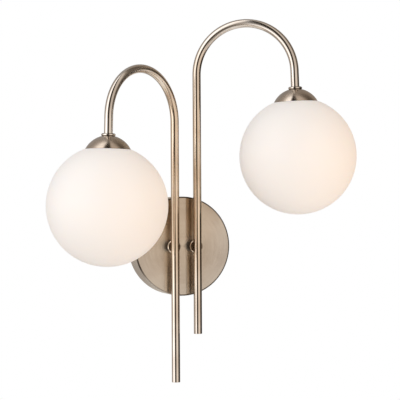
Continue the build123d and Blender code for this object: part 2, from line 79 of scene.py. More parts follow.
def make_camera():
    """A camera at its place, turned by yaw, pitch and roll."""
    level = cos(camera_pitch)
    look = Vector((sin(camera_yaw) * level, cos(camera_yaw) * level, sin(camera_pitch)))
    level_right = look.cross(Vector((0, 0, 1))).normalized()
    level_up = level_right.cross(look)
    right = level_right * cos(camera_roll) + level_up * sin(camera_roll)
    up = right.cross(look)
    data = bpy.data.cameras.new("camera")
    data.lens = camera_lens
    data.sensor_width = camera_film_width
    data.clip_end = camera_reach
    camera = bpy.data.objects.new("camera", data)
    turn = Matrix((right, up, -look)).transposed().to_4x4()
    camera.matrix_world = Matrix.Translation(camera_place) @ turn
    scene.collection.objects.link(camera)
    scene.camera = camera
    return camera


camera = make_camera()
scene.view_settings.view_transform = "Standard"
print("camera at", [round(v, 3) for v in camera.location], "lens", camera_lens)

# %% [markdown]
# ## Building node trees
# A material is a small tree of nodes. Written out one call at a time, a tree is long and hard to
# follow, so one helper adds a node, sets its options and fills its sockets. A socket that is handed
# another socket is linked to it, and one that is handed a number or a colour just keeps it.


# %% Adding a node
def fill(tree, socket, value):
    """Links a socket to another one, or sets it to a plain value."""
    if isinstance(value, bpy.types.NodeSocket):
        tree.links.new(value, socket)
    else:
        socket.default_value = value


def add(tree, kind, options=None, **values):
    """Adds a node. A socket's name is written with _ for its spaces."""
    node = tree.nodes.new(kind)
    for name, value in (options or {}).items():
        setattr(node, name, value)
    for name, value in values.items():
        wanted = name.replace("_", " ")
        sockets = [s for s in node.inputs if s.name == wanted and s.enabled]
        fill(tree, sockets[0], value)
    return node


# %% [markdown]
# Most of a tree is sums. These helpers each add one node for a sum and give back the socket that
# holds its result, so that a tree reads like the sum it stands for.


# %% Sums on numbers and vectors
def sum_node(tree, kind, options, values):
    """Adds a node, fills its sockets in their order and gives its first output."""
    node = add(tree, kind, options)
    for socket, value in zip(node.inputs, values):
        fill(tree, socket, value)
    return node.outputs[0]


def maths(tree, operation, *values):
    return sum_node(tree, "ShaderNodeMath", {"operation": operation}, values)


def vector_maths(tree, operation, *values):
    return sum_node(tree, "ShaderNodeVectorMath", {"operation": operation}, values)


def scaled(tree, vector, amount):
    node = add(tree, "ShaderNodeVectorMath", {"operation": "SCALE"}, Vector=vector, Scale=amount)
    return node.outputs[0]


def length_of(tree, vector):
    return add(tree, "ShaderNodeVectorMath", {"operation": "LENGTH"}, Vector=vector).outputs["Value"]


def parts_of(tree, vector):
    """The X, Y and Z of a vector."""
    return add(tree, "ShaderNodeSeparateXYZ", Vector=vector).outputs


def vector_of(tree, x=0.0, y=0.0, z=0.0):
    return add(tree, "ShaderNodeCombineXYZ", X=x, Y=y, Z=z).outputs[0]


# %% Blends and ramps
def blend_shaders(tree, factor, first, second):
    return sum_node(tree, "ShaderNodeMixShader", {}, (factor, first, second))


def blend_colours(tree, factor, first, second):
    node = add(tree, "ShaderNodeMix", {"data_type": "RGBA"}, Factor=factor, A=first, B=second)
    return node.outputs["Result"]


def spread(tree, value, low, high):
    """Turns a value from 0 to 1 into one from low to high."""
    return add(tree, "ShaderNodeMapRange", Value=value, To_Min=low, To_Max=high).outputs["Result"]


def ramp_between(tree, value, low, high):
    """0 below low and 1 above high, or the other way round where low is the greater."""
    node = add(tree, "ShaderNodeMapRange", {"interpolation_type": "SMOOTHSTEP"},
               Value=value, From_Min=min(low, high), From_Max=max(low, high))
    result = node.outputs["Result"]
    return result if low < high else maths(tree, "SUBTRACT", 1.0, result)


# %% Patterns on a piece
def own_place(tree):
    """Where a point lies on the piece's own coordinates, which move with the piece."""
    return add(tree, "ShaderNodeTexCoord").outputs["Object"]


def noise_at(tree, place, scale, detail):
    return add(tree, "ShaderNodeTexNoise", Vector=place, Scale=scale, Detail=detail).outputs["Fac"]


def noise(tree, scale, detail=2.0):
    return noise_at(tree, own_place(tree), scale, detail)


def bump(tree, height, strength, depth):
    return add(tree, "ShaderNodeBump", Strength=strength, Distance=depth, Height=height).outputs[0]


def new_material(name):
    material = bpy.data.materials.new(name)
    material.use_nodes = True
    material.node_tree.nodes.clear()
    return material, material.node_tree


def show(tree, shader):
    add(tree, "ShaderNodeOutputMaterial", Surface=shader)


# %% [markdown]
# ## The studio
# Brushed brass has hardly a colour of its own: it shows the room, smeared out by its brushing. The
# bright and dark lines down each tube are soft boxes and the gaps between them. So the studio here
# is a tent: a drum round the light whose wall has bright panels and dark gaps at the angles where a
# photographer puts them. There is one set of panels at the light's own height, which the straight
# tubes show, and another set higher up, which the crooks and the cups show. Only reflections see the
# tent: the camera looks through it into a white room.

# %% The tent's panels
# Each stop has an angle in degrees, from straight in front of the wall towards the right, then how
# bright the tent looks there in a perfect mirror, then how warm it is, from 0 to 1.
level_stops = [
    (-180, 0.42, 0.2), (-150, 0.46, 0.3), (-122, 0.40, 0.5), (-106, 0.50, 0.4), (-95, 1.35, 0.2),
    (-84, 1.75, 0.0), (-62, 1.75, 0.0), (-48, 1.00, 0.2), (-41, 0.20, 0.8), (-36, 0.04, 1.0),
    (-13, 0.04, 1.0), (-6, 0.50, 0.7), (6, 0.92, 0.5), (39, 0.92, 0.5), (50, 0.32, 0.8), (57, 0.02, 1.0),
    (107, 0.02, 1.0), (128, 0.20, 0.6), (142, 0.70, 0.3), (160, 0.70, 0.2), (170, 0.42, 0.2),
    (180, 0.42, 0.2),
]
upper_stops = [
    (-180, 0.36, 0.2), (-130, 0.36, 0.4), (-106, 0.50, 0.4), (-92, 1.10, 0.2), (-80, 1.65, 0.0),
    (-50, 1.65, 0.0), (-47, 1.10, 0.2), (-42, 0.12, 0.9), (-38, 0.03, 1.0), (-10, 0.03, 1.0),
    (-4, 0.30, 0.7), (2, 0.68, 0.5), (36, 0.68, 0.5), (50, 0.30, 0.8), (62, 0.11, 1.0), (90, 0.11, 1.0),
    (100, 0.30, 0.8), (140, 0.32, 0.6), (180, 0.36, 0.2),
]
# How far up or down one set of panels turns into the next, as angles above the level.
upper_fade = (radians(8), radians(24))
top_fade = (radians(76), radians(89))
low_fade = (radians(-14), radians(-32))
top_tone = (0.38, 0.4)
low_tone = (0.38, 0.5)
cool_tint = (1.00, 1.00, 1.02)
warm_tint = (1.15, 0.95, 0.76)
print("tent with", len(level_stops), "stops at the light's height and", len(upper_stops), "higher up")


# %% The tent's paint
def tent_colour(level, warmth):
    tints = zip(cool_tint, warm_tint)
    return tuple(level * (cool + warmth * (warm - cool)) for cool, warm in tints) + (1,)


def panels(tree, share, stops):
    """A ramp that goes once round the tent."""
    ramp = add(tree, "ShaderNodeValToRGB", Fac=share)
    elements = ramp.color_ramp.elements
    while len(elements) > 1:
        elements.remove(elements[-1])
    for number, (degrees, level, warmth) in enumerate(stops):
        at = (degrees + 180) / 360
        element = elements[0] if number == 0 else elements.new(at)
        element.position = at
        element.color = tent_colour(level, warmth)
    return ramp.outputs["Color"]


def tent_material():
    """Panels by the angle round the drum, fading to one tone overhead and to another below."""
    material, tree = new_material("tent_panels")
    place = own_place(tree)
    parts = parts_of(tree, place)
    angle = maths(tree, "ARCTAN2", parts["X"], maths(tree, "MULTIPLY", parts["Y"], -1.0))
    share = add(tree, "ShaderNodeMapRange", Value=angle, From_Min=-pi, From_Max=pi).outputs["Result"]
    flat = length_of(tree, vector_maths(tree, "MULTIPLY", place, (1, 1, 0)))
    rise = maths(tree, "ARCTAN2", parts["Z"], flat)
    level, upper = panels(tree, share, level_stops), panels(tree, share, upper_stops)
    colour = blend_colours(tree, ramp_between(tree, rise, *upper_fade), level, upper)
    colour = blend_colours(tree, ramp_between(tree, rise, *top_fade), colour, tent_colour(*top_tone))
    colour = blend_colours(tree, ramp_between(tree, rise, *low_fade), colour, tent_colour(*low_tone))
    show(tree, add(tree, "ShaderNodeEmission", Color=colour, Strength=1.0).outputs[0])
    return material


# %% The tent
tent_radius = 1.3
tent_low = -1.4
tent_sides = 96
tent_rings = 24


def circle_points(radius, height, sides):
    return [(radius * cos(tau * k / sides), radius * sin(tau * k / sides), height) for k in range(sides)]


def make_tent():
    """A drum that closes to a dome above, open below, that only reflections see."""
    levels = [(tent_radius, tent_low)]
    for step in range(tent_rings):
        rise = (pi / 2) * step / tent_rings
        levels.append((tent_radius * cos(rise), tent_radius * sin(rise)))
    points = [point for radius, height in levels for point in circle_points(radius, height, tent_sides)]
    faces = []
    for ring in range(len(levels) - 1):
        for k in range(tent_sides):
            here, after = ring * tent_sides + k, ring * tent_sides + (k + 1) % tent_sides
            faces.append((here, after, after + tent_sides, here + tent_sides))
    last = (len(levels) - 1) * tent_sides
    faces.append(tuple(range(last, last + tent_sides)))
    mesh = bpy.data.meshes.new("tent")
    mesh.from_pydata(points, [], faces)
    mesh.materials.append(tent_material())
    tent = bpy.data.objects.new("tent", mesh)
    scene.collection.objects.link(tent)
    tent.visible_camera = False
    tent.visible_diffuse = False
    tent.visible_transmission = False
    tent.visible_shadow = False
    return tent


tent = make_tent()
print("tent of", len(tent.data.polygons), "faces, radius", tent_radius, "m")

# %% [markdown]
# ### The white room and its floor
# The room is plain white where it is looked at, straight or in glass, and a little dimmer in the
# light it gives. That light is cool from the upper left and warm from the lower right, as in the
# picture. The floor is pale, lies well below the light and keeps its shadow. It fades into the white
# room before its rim, is clear from below, and isn't seen in reflections.

# %% World
room_level = 0.80
room_cool = (0.96, 0.99, 1.02, 1)
room_warm = (1.17, 0.955, 0.76, 1)
room_turn = 0.40
room_middle = 0.5


def room_seen(tree):
    """1 where the camera, a reflection or glass looks, and 0 for all other light."""
    path = add(tree, "ShaderNodeLightPath").outputs
    seen = maths(tree, "MAXIMUM", path["Is Camera Ray"], path["Is Glossy Ray"])
    return maths(tree, "MAXIMUM", seen, path["Is Transmission Ray"])


def make_world():
    """White where it is seen, and a soft light, cool on one side and warm on the other, elsewhere."""
    world = bpy.data.worlds.new("room")
    world.use_nodes = True
    tree = world.node_tree
    tree.nodes.clear()
    seen = room_seen(tree)
    way = parts_of(tree, add(tree, "ShaderNodeTexCoord").outputs["Generated"])
    across = maths(tree, "MULTIPLY_ADD", way["X"], room_turn, room_middle)
    share = maths(tree, "MULTIPLY_ADD", way["Z"], -room_turn, across)
    soft = blend_colours(tree, share, room_cool, room_warm)
    colour = blend_colours(tree, seen, soft, (1, 1, 1, 1))
    level = spread(tree, seen, room_level, 1.0)
    background = add(tree, "ShaderNodeBackground", Color=colour, Strength=level)
    add(tree, "ShaderNodeOutputWorld", Surface=background.outputs[0])
    scene.world = world


make_world()
print("room level", room_level)

# %% Floor
floor_height = -0.46
floor_radius = 1.0
floor_sides = 96
floor_fade = (0.25, 0.95)
floor_colour = (0.94, 0.925, 0.90)
floor_clouds = 3.0
floor_tone = (0.97, 1.0)


def floor_paint():
    """Matt paint that turns into the white room further out, and isn't there from below."""
    material, tree = new_material("floor_paint")
    tone = spread(tree, noise(tree, floor_clouds), *floor_tone)
    matt = add(tree, "ShaderNodeBsdfDiffuse", Color=scaled(tree, floor_colour, tone)).outputs[0]
    level = spread(tree, room_seen(tree), room_level, 1.0)
    room = add(tree, "ShaderNodeEmission", Strength=level).outputs[0]
    distance = length_of(tree, vector_maths(tree, "MULTIPLY", own_place(tree), (1, 1, 0)))
    painted = blend_shaders(tree, ramp_between(tree, distance, *floor_fade), matt, room)
    underside = add(tree, "ShaderNodeNewGeometry").outputs["Backfacing"]
    clear = add(tree, "ShaderNodeBsdfTransparent").outputs[0]
    show(tree, blend_shaders(tree, underside, painted, clear))
    return material


def make_floor():
    mesh = bpy.data.meshes.new("floor")
    rim = circle_points(floor_radius, floor_height, floor_sides)
    mesh.from_pydata(rim, [], [tuple(range(floor_sides))])
    mesh.materials.append(floor_paint())
    floor = bpy.data.objects.new("floor", mesh)
    scene.collection.objects.link(floor)
    floor.visible_glossy = False


make_floor()
print("floor at", floor_height, "m, fading from", floor_fade[0], "to", floor_fade[1], "m out")

# %% [markdown]
# ### Lamps
# The tent lights nothing but reflections, so the glass and the plastic have lamps of their own: a
# cool one high on the left, a warm one low on the right, and a weak one low on the left that fills
# the globes' undersides. They don't show in the brass.

# %% Lamps
light_middle = Vector((0, -0.08, 0.08))


def soft_lamp(name, place, size, power, colour):
    """A square lamp that looks at the middle of the light and doesn't show in reflections."""
    data = bpy.data.lights.new(name, "AREA")
    data.shape = "SQUARE"
    data.size = size
    data.energy = power
    data.color = colour
    lamp = bpy.data.objects.new(name, data)
    aim = light_middle - Vector(place)
    lamp.matrix_world = Matrix.Translation(place) @ aim.to_track_quat("-Z", "Y").to_matrix().to_4x4()
    lamp.visible_glossy = False
    scene.collection.objects.link(lamp)
    print(name, power, "W at", place)


soft_lamp("key_lamp", (-1.5, -1.2, 0.9), size=1.2, power=9.0, colour=(0.985, 1.0, 1.015))
soft_lamp("warm_lamp", (1.2, -1.0, -0.30), size=1.0, power=6.0, colour=(1.0, 0.79, 0.61))
soft_lamp("fill_lamp", (-0.9, -1.0, -0.36), size=1.0, power=2.0, colour=(1.0, 0.95, 0.90))

# %% [markdown]
# ## Antique brass
# The metal is brass plate on steel, stained dark, then brushed back and lacquered. Three things make
# it: a warm grey-brown colour with darker clouds where the staining stayed, fine scratches all in one
# direction, and reflections that smear square to those scratches. The shader's anisotropy smears a
# reflection along its tangent, so the tangent stands square to the brushing. Tubes and cups are
# brushed round and round, and the canopy in rings about its middle. A painted warm reflection makes
# the brass more golden round the middle of the light and paler at its ends.

# %% Colours of the brass
brass_light = (0.80, 0.71, 0.60, 1)
brass_dark = (0.67, 0.565, 0.455, 1)
cup_light = (0.675, 0.560, 0.440, 1)
cup_dark = (0.525, 0.415, 0.310, 1)
canopy_light = (0.602, 0.549, 0.474, 1)
canopy_dark = (0.492, 0.433, 0.362, 1)
# Dark brown for the collars' staining and for the painted shade on the canopy's edge and stand-offs.
stain_and_shade_brown = (0.05, 0.030, 0.017, 1)
# A painted warm reflection: the brass is tinted more golden round the middle of the light and paler
# towards its ends.
gold_middle = (-0.010, 0.0, 0.080)
gold_reach = (0.070, 1.0, 0.130)
gold_fade = (0.45, 1.65)
warm_reflection_tint = (1.02, 0.955, 0.875, 1)
pale_tint = (1.00, 1.045, 1.12, 1)


def painted_warm_reflection(tree, colour):
    """A painted warm reflection: the brass is most golden round the middle of the light."""
    away = vector_maths(tree, "SUBTRACT", own_place(tree), gold_middle)
    distance = length_of(tree, vector_maths(tree, "DIVIDE", away, gold_reach))
    tint = blend_colours(tree, ramp_between(tree, distance, *gold_fade), warm_reflection_tint, pale_tint)
    return vector_maths(tree, "MULTIPLY", colour, tint)


print("brass between", brass_dark[:3], "and", brass_light[:3])

# %% Brushed brass
stain_clouds = 28.0
tone_range = (0.32, 0.68)
scratch_scale = 4.0
scratch_bump = 0.05
scratch_depth = 0.01 * MM


def brass(name, place, tangent, roughness, smear, streaked=0.2, colours=(brass_dark, brass_light),
          stain_and_shade=None, painted_sheen=None):
    """Brushed brass. place squeezes the scratches along the brushing, tangent stands square to it.

    streaked is how far the colour follows the scratches rather than the clouds. stain says how much
    a place is darkened, by patina on a collar and by painted shade on the canopy's edge and the
    stand-offs, and lift how many times brighter than its colour a painted sheen makes it.
    """
    material, tree = new_material(name)
    where, way = place(tree), tangent(tree)
    clouds = maths(tree, "MULTIPLY", noise(tree, stain_clouds, detail=3.0), 1 - streaked)
    streaks = noise_at(tree, where, scale=1.0, detail=3.0)
    tone = maths(tree, "MULTIPLY_ADD", streaks, streaked, clouds)
    scratches = noise_at(tree, where, scratch_scale, detail=2.0)
    colour = painted_warm_reflection(tree, blend_colours(tree, ramp_between(tree, tone, *tone_range), *colours))
    if painted_sheen:
        colour = scaled(tree, colour, painted_sheen(tree))
    if stain_and_shade:
        colour = blend_colours(tree, stain_and_shade(tree), colour, stain_and_shade_brown)
    shader = add(
        tree, "ShaderNodeBsdfPrincipled",
        Base_Color=colour, Metallic=1.0, Roughness=spread(tree, scratches, *roughness),
        Anisotropic=smear, Tangent=way, Normal=bump(tree, scratches, scratch_bump, scratch_depth),
    )
    show(tree, shader.outputs[0])
    return material


def squeezed(stretch):
    """The piece's own coordinates, squeezed along each axis by a number."""
    def build(tree):
        return add(tree, "ShaderNodeMapping", Vector=own_place(tree), Scale=stretch).outputs["Vector"]
    return build


def upright(tree):
    return vector_of(tree, z=1.0)


cup_brass = brass("cup_brass", squeezed((40, 40, 1100)), upright, roughness=(0.17, 0.24), smear=0.95,
                  colours=(cup_dark, cup_light))
print("cups between", cup_dark[:3], "and", cup_light[:3])

# %% [markdown]
# ### The canopy's brass
# The canopy is a pressed cup that was brushed while it spun, so both its face and its wall are
# scratched in rings. The rings pinch each line of light on the face to a wedge that points at the
# middle. The wall's colour is raised above the face's, a painted sheen that makes it look lit
# brighter, and a dark line of painted shade runs along the tight curve between them, thinner low on
# the left. One material does all of it: it looks at the normal to tell face from wall, and at the
# distance from the middle to find the curve.

# %% Rings on the canopy
# ring_breaks is how often a scratch changes on its way round, and face_slope is how squarely a point
# has to look out of the wall to be on the face.
canopy_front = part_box("canopy")[0].y
canopy_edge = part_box("canopy")[1].x
rings_per_metre = 600.0
ring_breaks = 1.5
face_slope = 0.7


def from_the_middle(tree):
    """How far a point lies from the canopy's middle, and in which direction."""
    flat = vector_maths(tree, "MULTIPLY", own_place(tree), (1, 0, 1))
    return length_of(tree, flat), vector_maths(tree, "NORMALIZE", flat)


def rings(tree):
    """Scratches in rings about the canopy's middle, on its face and down its wall."""
    distance, outwards = from_the_middle(tree)
    depth = parts_of(tree, own_place(tree))["Y"]
    ring = maths(tree, "MULTIPLY", maths(tree, "SUBTRACT", distance, depth), rings_per_metre)
    around = parts_of(tree, scaled(tree, outwards, ring_breaks))
    return vector_of(tree, around["X"], ring, around["Z"])


def is_face(tree):
    """1 on the canopy's face and 0 on its wall."""
    normal = parts_of(tree, add(tree, "ShaderNodeNewGeometry").outputs["Normal"])
    return maths(tree, "GREATER_THAN", maths(tree, "ABSOLUTE", normal["Y"]), face_slope)


def face_or_wall(tree):
    """The way square to the rings: outwards on the face, and straight ahead on the canopy's wall."""
    pick = add(tree, "ShaderNodeMix", {"data_type": "VECTOR"}, Factor=is_face(tree),
               A=vector_of(tree, y=1.0), B=from_the_middle(tree)[1])
    return pick.outputs["Result"]


print("canopy edge at", round(canopy_edge / MM, 1), "mm")

# %% Canopy brass
# Each pair says where a thing starts and where it is full.
# A painted sheen: the canopy's wall gets a colour 1.45 times brighter than its face, so it looks lit
# brighter.
wall_sheen_lift = 1.45
rim_ring = (canopy_edge - 2.1 * MM, canopy_edge - 1.4 * MM)
rim_depth = (canopy_front + 2.0 * MM, canopy_front + 1.2 * MM)
# Painted shade: a dark line along the canopy's rounded edge, fainter low on the left.
rim_shade_depth = 0.85
rim_shade_low_left = 0.35
rim_fainter_below = (-24.0 * MM, -36.0 * MM)
rim_fainter_left_of = (-5.0 * MM, -15.0 * MM)


# Painted sheen: the colour is raised on the canopy's wall and left as it is on the face.
def wall_painted_sheen(tree):
    return spread(tree, is_face(tree), wall_sheen_lift, 1.0)


def rim_painted_shade(tree):
    """How much painted shade darkens the canopy's rounded edge, which is less low on the left."""
    parts = parts_of(tree, own_place(tree))
    outer = ramp_between(tree, from_the_middle(tree)[0], *rim_ring)
    near = ramp_between(tree, parts["Y"], *rim_depth)
    low = ramp_between(tree, parts["Z"], *rim_fainter_below)
    left = ramp_between(tree, parts["X"], *rim_fainter_left_of)
    rim_shade_amount = spread(tree, maths(tree, "MULTIPLY", low, left), rim_shade_depth, rim_shade_low_left)
    return maths(tree, "MULTIPLY", maths(tree, "MULTIPLY", outer, near), rim_shade_amount)


canopy_brass = brass("canopy_brass", rings, face_or_wall, roughness=(0.20, 0.26), smear=0.95,
                     streaked=0.28, colours=(canopy_dark, canopy_light), stain_and_shade=rim_painted_shade, painted_sheen=wall_painted_sheen)
# The dark line along the rounded edge whose start is printed here is painted shade.
print("stain line from", round(rim_ring[0] / MM, 1), "mm outwards")

# %% [markdown]
# ### Stained and shaded brass
# A collar is brushed only where the belt touches it, on the round of its ring, and keeps its dark
# staining where it faces up or down. A stand-off is painted dark as shade all over, but for the
# bright chamfer round the end beside the tube.

# %% Small turned pieces
# Each pair says where the bright edge, the staining or the painted shade starts and where it is full.
stand_off_low, stand_off_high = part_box("right_stand_off")
stand_off_front = stand_off_low.y
stand_off_aside = (stand_off_low.x + stand_off_high.x) / 2
chamfer_ring = (7.1 * MM, 7.3 * MM)
chamfer_depth = (stand_off_front + 1.0 * MM, stand_off_front + 0.8 * MM)
# How dark the painted shade on a stand-off is.
stand_off_shade_depth = 0.95
collar_slope = (0.35, 0.8)
collar_stained = 0.85


def stand_off_painted_shade(tree):
    """Painted shade everywhere but on the chamfer round the end that meets the tube."""
    parts = parts_of(tree, own_place(tree))
    aside = maths(tree, "SUBTRACT", maths(tree, "ABSOLUTE", parts["X"]), stand_off_aside)
    outside = ramp_between(tree, length_of(tree, vector_of(tree, aside, 0.0, parts["Z"])), *chamfer_ring)
    in_front = ramp_between(tree, parts["Y"], *chamfer_depth)
    bright = maths(tree, "MULTIPLY", outside, in_front)
    return maths(tree, "MULTIPLY", maths(tree, "SUBTRACT", 1.0, bright), stand_off_shade_depth)


def collar_stain(tree):
    """Stain where the collar faces up or down, and none on the round of its ring."""
    normal = parts_of(tree, add(tree, "ShaderNodeNewGeometry").outputs["Normal"])
    slope = maths(tree, "ABSOLUTE", normal["Z"])
    return maths(tree, "MULTIPLY", ramp_between(tree, slope, *collar_slope), collar_stained)


turned_brass = brass("turned_brass", squeezed((80, 80, 1500)), upright, roughness=(0.14, 0.20), smear=0.6)
stand_off_brass = brass("stand_off_brass", squeezed((80, 1500, 80)), upright, roughness=(0.20, 0.28),
                        smear=0.3, stain_and_shade=stand_off_painted_shade)
collar_brass = brass("collar_brass", squeezed((80, 80, 1500)), upright, roughness=(0.14, 0.20), smear=0.6,
                     stain_and_shade=collar_stain)
print("stand-offs' bright edge at", round(stand_off_front / MM, 1), "mm")

# %% [markdown]
# ## Opal glass
# The globes are blown in white opal glass and etched matt outside, so light sinks in a little and
# spreads before it comes back. Subsurface scattering does that over a few millimetres. The etched
# skin is very rough but still glass, and its white isn't quite even: the gather has faint clouds.

# %% Glass
opal_white = (0.908, 0.860, 0.824, 1)
opal_cloud = (0.898, 0.848, 0.810, 1)
opal_depth = (4.0 * MM, 3.0 * MM, 2.0 * MM)
gather_clouds = 14.0
etch_scale = 2600.0
etch_roughness = (0.46, 0.58)
etch_bump = 0.10
etch_depth = 0.03 * MM


def opal_glass():
    material, tree = new_material("opal_glass")
    colour = blend_colours(tree, noise(tree, gather_clouds), opal_cloud, opal_white)
    etch = noise(tree, etch_scale)
    shader = add(
        tree, "ShaderNodeBsdfPrincipled",
        Base_Color=colour, Roughness=spread(tree, etch, *etch_roughness), IOR=1.5,
        Subsurface_Weight=0.15, Subsurface_Radius=opal_depth, Subsurface_Scale=0.5,
        Normal=bump(tree, etch, etch_bump, etch_depth),
    )
    show(tree, shader.outputs[0])
    return material


opal = opal_glass()
print("opal glass", opal_white[:3])

# %% [markdown]
# ## Hidden fittings
# Behind the canopy and inside the cups are zinc-plated steel, bare brass, moulded plastic, ceramic
# and silicone. Each gets a plain but true finish, since the back of the canopy is open and shows
# them. A plated piece is cloudy and as rough as its clouds, and a moulded one has an even grain.

# %% Two ways to finish a fitting
metal_clouds = 160.0
metal_grain = 1800.0
metal_bump = 0.2
moulded_clouds = 90.0
moulded_grain = 900.0
moulded_bump = 0.25
grain_depth = 0.03 * MM


def metal(name, light, dark, roughness):
    """Plated or plain metal, cloudy, and as rough as its clouds."""
    material, tree = new_material(name)
    clouds = noise(tree, metal_clouds, detail=4.0)
    shader = add(
        tree, "ShaderNodeBsdfPrincipled", Metallic=1.0,
        Base_Color=blend_colours(tree, clouds, dark, light), Roughness=spread(tree, clouds, *roughness),
        Normal=bump(tree, noise(tree, metal_grain), metal_bump, grain_depth),
    )
    show(tree, shader.outputs[0])
    return material


def moulded(name, light, dark, roughness, grain_scale=moulded_grain):
    """Plastic, rubber or ceramic, with faint clouds and an even grain."""
    material, tree = new_material(name)
    clouds, grain = noise(tree, moulded_clouds, detail=3.0), noise(tree, grain_scale)
    shader = add(
        tree, "ShaderNodeBsdfPrincipled",
        Base_Color=blend_colours(tree, clouds, dark, light), Roughness=spread(tree, grain, *roughness),
        Normal=bump(tree, grain, moulded_bump, grain_depth),
    )
    show(tree, shader.outputs[0])
    return material


# %% Fittings' finishes
# Each has its light colour, its dark colour and how rough it is, from smoothest to roughest.
zinc = metal("zinc_steel", (0.72, 0.73, 0.74, 1), (0.55, 0.57, 0.60, 1), (0.28, 0.42))
bare_brass = metal("bare_brass", (0.86, 0.66, 0.34, 1), (0.70, 0.50, 0.24, 1), (0.22, 0.36))
nickel = metal("contact_steel", (0.70, 0.68, 0.63, 1), (0.58, 0.56, 0.52, 1), (0.20, 0.32))
block_plastic = moulded("terminal_plastic", (0.86, 0.85, 0.80, 1), (0.80, 0.79, 0.73, 1), (0.40, 0.52))
rubber = moulded("silicone", (0.84, 0.84, 0.82, 1), (0.76, 0.76, 0.74, 1), (0.45, 0.60), 300.0)
ceramic = moulded("socket_ceramic", (0.88, 0.86, 0.80, 1), (0.80, 0.77, 0.70, 1), (0.18, 0.30), 400.0)
bulb_white = moulded("bulb_plastic", (0.90, 0.90, 0.89, 1), (0.84, 0.84, 0.83, 1), (0.35, 0.45))
frosted = moulded("frosted_cover", (0.92, 0.92, 0.90, 1), (0.88, 0.88, 0.86, 1), (0.45, 0.55), 1500.0)
brown_sleeve = moulded("brown_sleeve", (0.16, 0.075, 0.035, 1), (0.12, 0.055, 0.025, 1), (0.38, 0.50))
blue_sleeve = moulded("blue_sleeve", (0.03, 0.12, 0.38, 1), (0.02, 0.09, 0.30, 1), (0.38, 0.50))
print(len(bpy.data.materials), "materials")

# %% [markdown]
# ### Dressing the solids
# A solid comes out of the pack in one plain colour. The left and the right arm hold the same pieces,
# so a finish is looked up by a piece's name without its side. The two arm tubes and the wires aren't
# in the list, because the next steps make those again with a finish that follows them.

# %% Dress the solids
finishes = {
    "wall_bracket": zinc, "canopy": canopy_brass, "canopy_side_screws": turned_brass,
    "earth_screw": bare_brass, "terminal_housing": block_plastic, "terminal_inserts": bare_brass,
    "terminal_screws": zinc, "stub_washers": zinc, "stub_nuts": zinc, "dome_washers": zinc,
    "dome_nuts": zinc, "foot_plug": turned_brass, "stand_off": stand_off_brass,
    "stub": bare_brass, "collar": collar_brass, "dome_cup": cup_brass,
    "glass_carrier": bare_brass, "lampholder_cap": zinc, "lampholder_insert": ceramic,
    "lampholder_contacts": nickel, "gasket": rubber, "globe": opal, "bulb_base": bulb_white,
    "bulb_cover": frosted, "bulb_pins": nickel,
}


def dress(piece, material):
    piece.data.materials.clear()
    piece.data.materials.append(material)


dressed = []
for name, piece in nodes.items():
    kind = name.removeprefix("left_").removeprefix("right_")
    if kind in finishes:
        dress(piece, finishes[kind])
        dressed.append(name)
print(len(dressed), "of", len(nodes), "solids dressed")

# %% [markdown]
# ## The two arms
# Each arm is one tube that a bender pulled round a former: a long straight, a crook of a little less
# than half a turn, and a short drop. Its middle line follows a rule, so Geometry Nodes can work it
# out from five sizes. A straight curve is cut into short steps, and each step is set to its place by
# how far it lies along the tube. A circle swept along the curve gives the skin, and the skin
# extruded inwards gives the wall. The tree also writes two attributes for the material: how far
# along the tube a point lies, and which way the tube runs there. With those the brushing follows the
# crook, which plain coordinates could never do.

# %% The record's places
joints = {joint["name"]: joint for joint in frame["record"]["behaviour"]["joints"]}


def joint_place(name):
    """Where a joint is, and the way its axis points."""
    return Vector(joints[name]["pos_m"]), Vector(joints[name]["axis"])


for side in SIDES:
    centre, down = joint_place(f"{side}_globe_unscrew")
    print(side, "globe turns about", [round(v / MM, 1) for v in centre])

# %% Sizes of the arms
crook_radius = 60.0 * MM
crook_angle = radians(178.0)
splay = radians(34.0)
arm_drop = 32.4 * MM
tube_wall = 1.0 * MM
wire_hole_radius = 2.8 * MM
plug_low, plug_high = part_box("left_foot_plug")
arm_low, arm_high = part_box("left_arm")
tube_radius = (plug_high.x - plug_low.x) / 2
arm_straight = arm_high.z - arm_low.z - crook_radius - tube_radius


def arm_foot(side):
    """The middle of the tube's lower end."""
    low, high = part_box(f"{side}_foot_plug")
    return Vector(((low.x + high.x) / 2, (low.y + high.y) / 2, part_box(f"{side}_arm")[0].z))


def lean_way(side):
    """The level direction in which the crook leans away from its tube."""
    return Vector((SIDES[side] * cos(splay), -sin(splay), 0))


print("tube radius", round(tube_radius / MM, 2), "mm, straight", round(arm_straight / MM, 1), "mm")


# %% A tree that has named sizes
def new_tree(name, sizes):
    """A Geometry Nodes tree that has one named input for each size, and one output."""
    tree = bpy.data.node_groups.new(name, "GeometryNodeTree")
    for size, kind in sizes.items():
        tree.interface.new_socket(size, in_out="INPUT", socket_type=kind)
    tree.interface.new_socket("Geometry", in_out="OUTPUT", socket_type="NodeSocketGeometry")
    return tree, tree.nodes.new("NodeGroupInput").outputs


def grow(name, tree, values):
    """Runs a tree on an empty mesh with these sizes, and gives the result as a plain mesh object."""
    start = bpy.data.objects.new(name, bpy.data.meshes.new(name))
    scene.collection.objects.link(start)
    modifier = start.modifiers.new("grow", "NODES")
    modifier.node_group = tree
    for item in tree.interface.items_tree:
        if item.in_out == "INPUT" and item.name in values:
            modifier[item.identifier] = values[item.name]
    graph = bpy.context.evaluated_depsgraph_get()
    grown = start.evaluated_get(graph)
    mesh = bpy.data.meshes.new_from_object(grown, preserve_all_data_layers=True, depsgraph=graph)
    bpy.data.objects.remove(start)
    mesh.name = name
    piece = bpy.data.objects.new(name, mesh)
    scene.collection.objects.link(piece)
    return piece


# %% Nodes that shapes need
FLOAT, VECTOR = "NodeSocketFloat", "NodeSocketVector"
MATERIAL, WHOLE = "NodeSocketMaterial", "NodeSocketInt"


